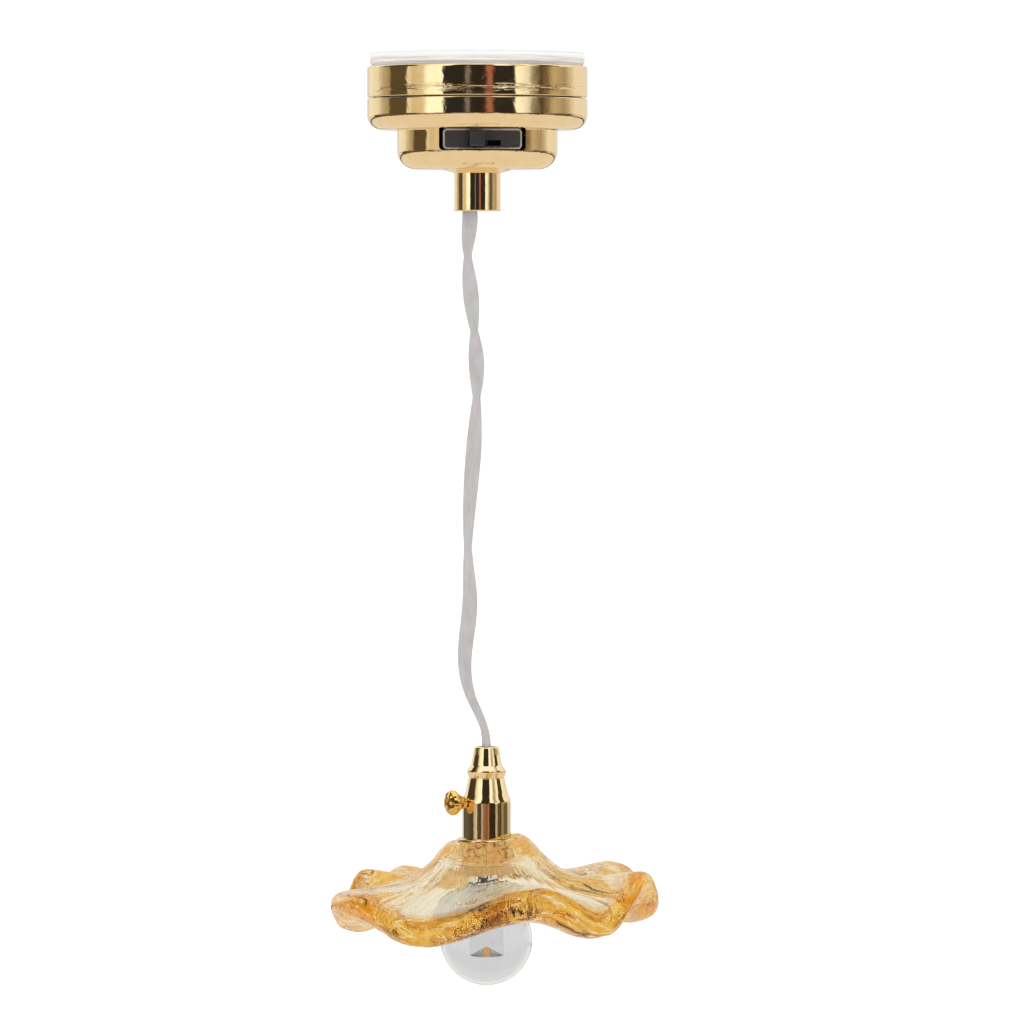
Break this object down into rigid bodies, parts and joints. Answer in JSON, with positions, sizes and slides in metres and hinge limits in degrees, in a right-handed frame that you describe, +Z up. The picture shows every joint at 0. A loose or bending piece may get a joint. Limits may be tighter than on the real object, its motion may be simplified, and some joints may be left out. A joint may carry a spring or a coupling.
{
  "type": "miniature pendant lamp",
  "caption": "Dolls-house battery pendant lamp with a stick-on canopy and slide switch, twisted twin cord, key socket, ruffled amber glass shade and a clear globe bulb.",
  "frame": {"origin": "centre of the face that sticks to the ceiling", "axes": "+Z up into the ceiling, the lamp hangs along -Z; the switch faces the front, -Y, and +X is to its right"},
  "size_m": [0.0419, 0.0418, 0.1189],
  "materials": {
    "liner_paper": "satin coated paper",
    "foam": "matte closed-cell foam",
    "gold_plate": "polished pale gold plating, fine scratches",
    "gold_shell": "polished pale gold plating",
    "gold_collar": "polished pale gold plating",
    "gold_socket": "polished pale gold plating",
    "gold_key": "polished deep gold plating, hammered face",
    "gold_holder": "polished pale gold plating",
    "tray_plastic": "moulded, fine texture",
    "cell_steel": "brushed nickel-plated steel",
    "contact_strip": "spring strip, satin",
    "switch_black": "moulded, slightly glossy",
    "switch_knob": "moulded, slightly glossy",
    "switch_steel": "nickel-plated sheet",
    "tinned_brass": "tinned",
    "tinned_steel": "tinned",
    "crimp_steel": "satin",
    "lead_red": "satin insulation",
    "lead_black": "satin insulation",
    "cord_white": "soft light grey-white insulation",
    "shrink_black": "matte heat-shrink",
    "amber_glass": "clear honey-amber glass, thick ruffled rim, seeds",
    "clear_plug": "clear acrylic",
    "clear_ball": "clear polished acrylic, a few specks",
    "led_resin": "clear cast resin",
    "phosphor": "orange-yellow phosphor"
  },
  "bodies": {
    "ceiling_mount": {"release_liner": "liner_paper", "adhesive_pad": "foam", "ceiling_plate": "gold_plate"},
    "canopy": {"canopy_shell": "gold_shell", "collar": "gold_collar", "battery_tray": "tray_plastic", "coin_cell": "cell_steel", "contact_positive": "contact_strip", "contact_negative": "contact_strip", "switch_housing": "switch_black", "switch_frame": "switch_steel", "switch_terminals": "tinned_brass", "lead_positive": "lead_red", "lead_switched": "cord_white", "lead_negative": "lead_black", "cord_knot": "cord_white", "cord_inner": "cord_white"},
    "switch_knob": {"switch_slider": "switch_knob", "switch_wiper": "contact_strip"},
    "cord_head": {"cord_top": "cord_white"},
    "pendant_cord": {"cord": "cord_white"},
    "cord_end": {"cord_tail": "cord_white", "cord_grip": "crimp_steel"},
    "lamp": {"socket_cap": "gold_socket", "socket_shell": "gold_socket", "shade_holder": "gold_holder", "shade_nut": "gold_holder", "shade": "amber_glass", "bulb_base": "clear_plug", "bulb_globe": "clear_ball", "led_body": "led_resin", "led_leads": "tinned_steel", "led_phosphor": "phosphor", "strand_tails": "cord_white", "heat_shrinks": "shrink_black"},
    "turn_key": {"key": "gold_key"}
  },
  "joints": [
    {"name": "canopy_twist", "type": "hinge", "parent": "ceiling_mount", "child": "canopy", "pos_m": [0, 0, -0.0055], "axis": [0, 0, 1], "range_deg": [0, 30]},
    {"name": "switch_slide", "type": "slide", "parent": "canopy", "child": "switch_knob", "axis": [0.9969, 0.0785, 0], "range_m": [0, 0.002]},
    {"name": "pendant_sway", "type": "hinge", "parent": "canopy", "child": "cord_head", "pos_m": [-0.00095, 0, -0.0201], "axis": [1, 0, 0], "range_deg": [-20, 20], "deforming": ["cord_top"]},
    {"name": "pendant_swing", "type": "hinge", "parent": "cord_head", "child": "pendant_cord", "pos_m": [-0.00095, 0, -0.0201], "axis": [0, 1, 0], "range_deg": [-20, 20], "deforming": ["cord"]},
    {"name": "lamp_tilt", "type": "hinge", "parent": "pendant_cord", "child": "cord_end", "pos_m": [0.00115, 0, -0.0883], "axis": [0, 1, 0], "range_deg": [-20, 20]},
    {"name": "lamp_turn", "type": "hinge", "parent": "cord_end", "child": "lamp", "pos_m": [0.00115, 0, -0.0905], "axis": [0, 0, 1], "range_deg": [-180, 180]},
    {"name": "key_turn", "type": "hinge", "parent": "lamp", "child": "turn_key", "pos_m": [0.00115, 0, -0.0953], "axis": [-0.866, -0.5, 0], "continuous": true}
  ]
}
